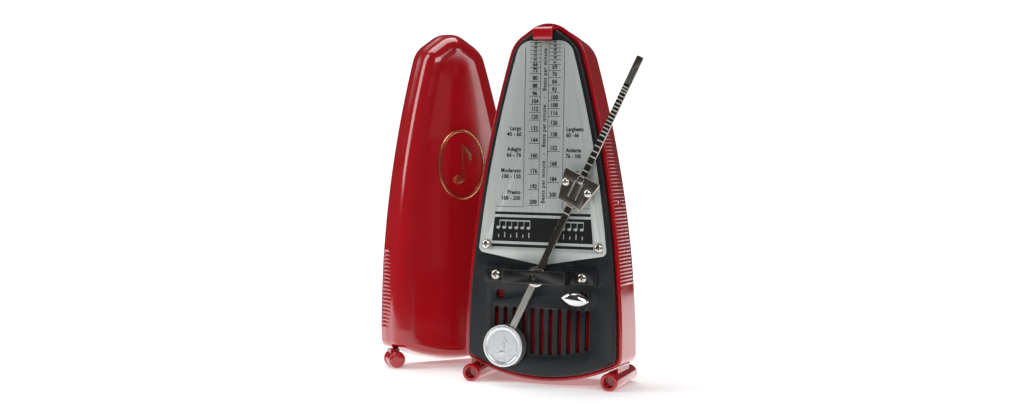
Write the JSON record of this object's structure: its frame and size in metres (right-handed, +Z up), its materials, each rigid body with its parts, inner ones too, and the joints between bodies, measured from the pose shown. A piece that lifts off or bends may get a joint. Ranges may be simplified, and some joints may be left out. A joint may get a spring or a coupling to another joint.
{
  "type": "metronome",
  "caption": "Wind-up metronome: peaked case on tube feet, weighted swinging rod with a sliding weight, winding key, spring-driven gear train and a separate front cover.",
  "frame": {"origin": "bottom centre of the box round the metronome and its cover, on the surface they stand on", "axes": "+Z up; the face of the metronome looks toward -Y and leans back 2.5 degrees; +X is to the right of someone facing the dial"},
  "size_m": [0.1374, 0.0846, 0.1599],
  "materials": {
    "red_plastic": "glossy",
    "black_plastic": "satin",
    "black_steel": "satin black",
    "dial_aluminium": "brushed",
    "dark_steel": "brushed",
    "steel": "turned",
    "chrome": "polished",
    "brass": "turned",
    "spring_steel": "blued",
    "gold_trim": "polished"
  },
  "bodies": {
    "case": {"back_frame": "brass", "back_screw_1": "steel", "back_screw_2": "steel", "back_screw_3": "steel", "bridge_screw_left": "steel", "bridge_screw_right": "steel", "bridge_strap": "black_steel", "click_pin": "steel", "click_spring": "steel", "dial_plate": "dial_aluminium", "dial_screw_left": "steel", "dial_screw_right": "steel", "foot_left": "red_plastic", "foot_right": "red_plastic", "frame_screw_1": "steel", "frame_screw_2": "steel", "frame_screw_3": "steel", "frame_screw_4": "steel", "front_frame": "red_plastic", "front_plate": "black_plastic", "pillar_1": "steel", "pillar_2": "steel", "pillar_3": "steel", "pillar_4": "steel", "rear_housing": "red_plastic", "side_pin_left": "steel", "side_pin_right": "steel"},
    "pendulum": {"pendulum_rod": "dark_steel", "pendulum_hub": "steel", "pendulum_arbor": "steel", "pallet_anchor": "steel", "counterweight": "chrome"},
    "slider": {"slider_plate": "dark_steel", "slider_back_plate": "dark_steel", "slider_rivet_left": "chrome", "slider_rivet_right": "chrome", "slider_leaf": "steel"},
    "key": {"winding_key": "chrome", "winding_arbor": "steel", "ratchet_wheel": "steel"},
    "click": {"click_pawl": "steel"},
    "barrel": {"barrel": "brass", "barrel_cap": "brass", "mainspring": "spring_steel"},
    "intermediate": {"inter_arbor": "steel", "inter_pinion": "steel", "inter_wheel": "brass"},
    "escape": {"escape_arbor": "steel", "escape_pinion": "steel", "escape_wheel": "brass"},
    "cover": {"cover_shell": "red_plastic", "cover_foot_left": "red_plastic", "cover_foot_right": "red_plastic", "emblem_ring": "gold_trim", "emblem_note": "gold_trim"}
  },
  "joints": [
    {"name": "pendulum_swing", "type": "hinge", "parent": "case", "child": "pendulum", "pos_m": [0.02159, -0.0311, 0.0486], "axis": [0, 0.999, -0.0436], "range_deg": [-55.5, 4.5]},
    {"name": "slider_slide", "type": "slide", "parent": "pendulum", "child": "slider", "axis": [0.4305, 0.0394, 0.9017], "range_m": [-0.0209, 0.052]},
    {"name": "key_wind", "type": "hinge", "parent": "case", "child": "key", "pos_m": [0.04049, -0.03148, 0.03966], "axis": [0, 0.999, -0.0436], "continuous": true},
    {"name": "click_lift", "type": "hinge", "parent": "case", "child": "click", "pos_m": [0.03049, -0.03123, 0.04546], "axis": [0, 0.999, -0.0436], "range_deg": [-12, 0], "stiffness_Nm_per_rad": 0.0002, "springref_deg": 5.73},
    {"name": "barrel_turn", "type": "hinge", "parent": "case", "child": "barrel", "pos_m": [0.04049, -0.03148, 0.03966], "axis": [0, 0.999, -0.0436], "continuous": true},
    {"name": "intermediate_turn", "type": "hinge", "parent": "case", "child": "intermediate", "pos_m": [0.02543, -0.03175, 0.03369], "axis": [0, 0.999, -0.0436], "continuous": true},
    {"name": "escape_turn", "type": "hinge", "parent": "case", "child": "escape", "pos_m": [0.01839, -0.03146, 0.0402], "axis": [0, 0.999, -0.0436], "continuous": true},
    {"name": "cover_lift", "type": "slide", "parent": "case", "child": "cover", "axis": [0, 0, 1], "range_m": [0, 0.17]}
  ],
  "couplings": [
    {"joint": "intermediate_turn", "follows": "barrel_turn", "ratio": -4.4},
    {"joint": "escape_turn", "follows": "barrel_turn", "ratio": 22}
  ]
}
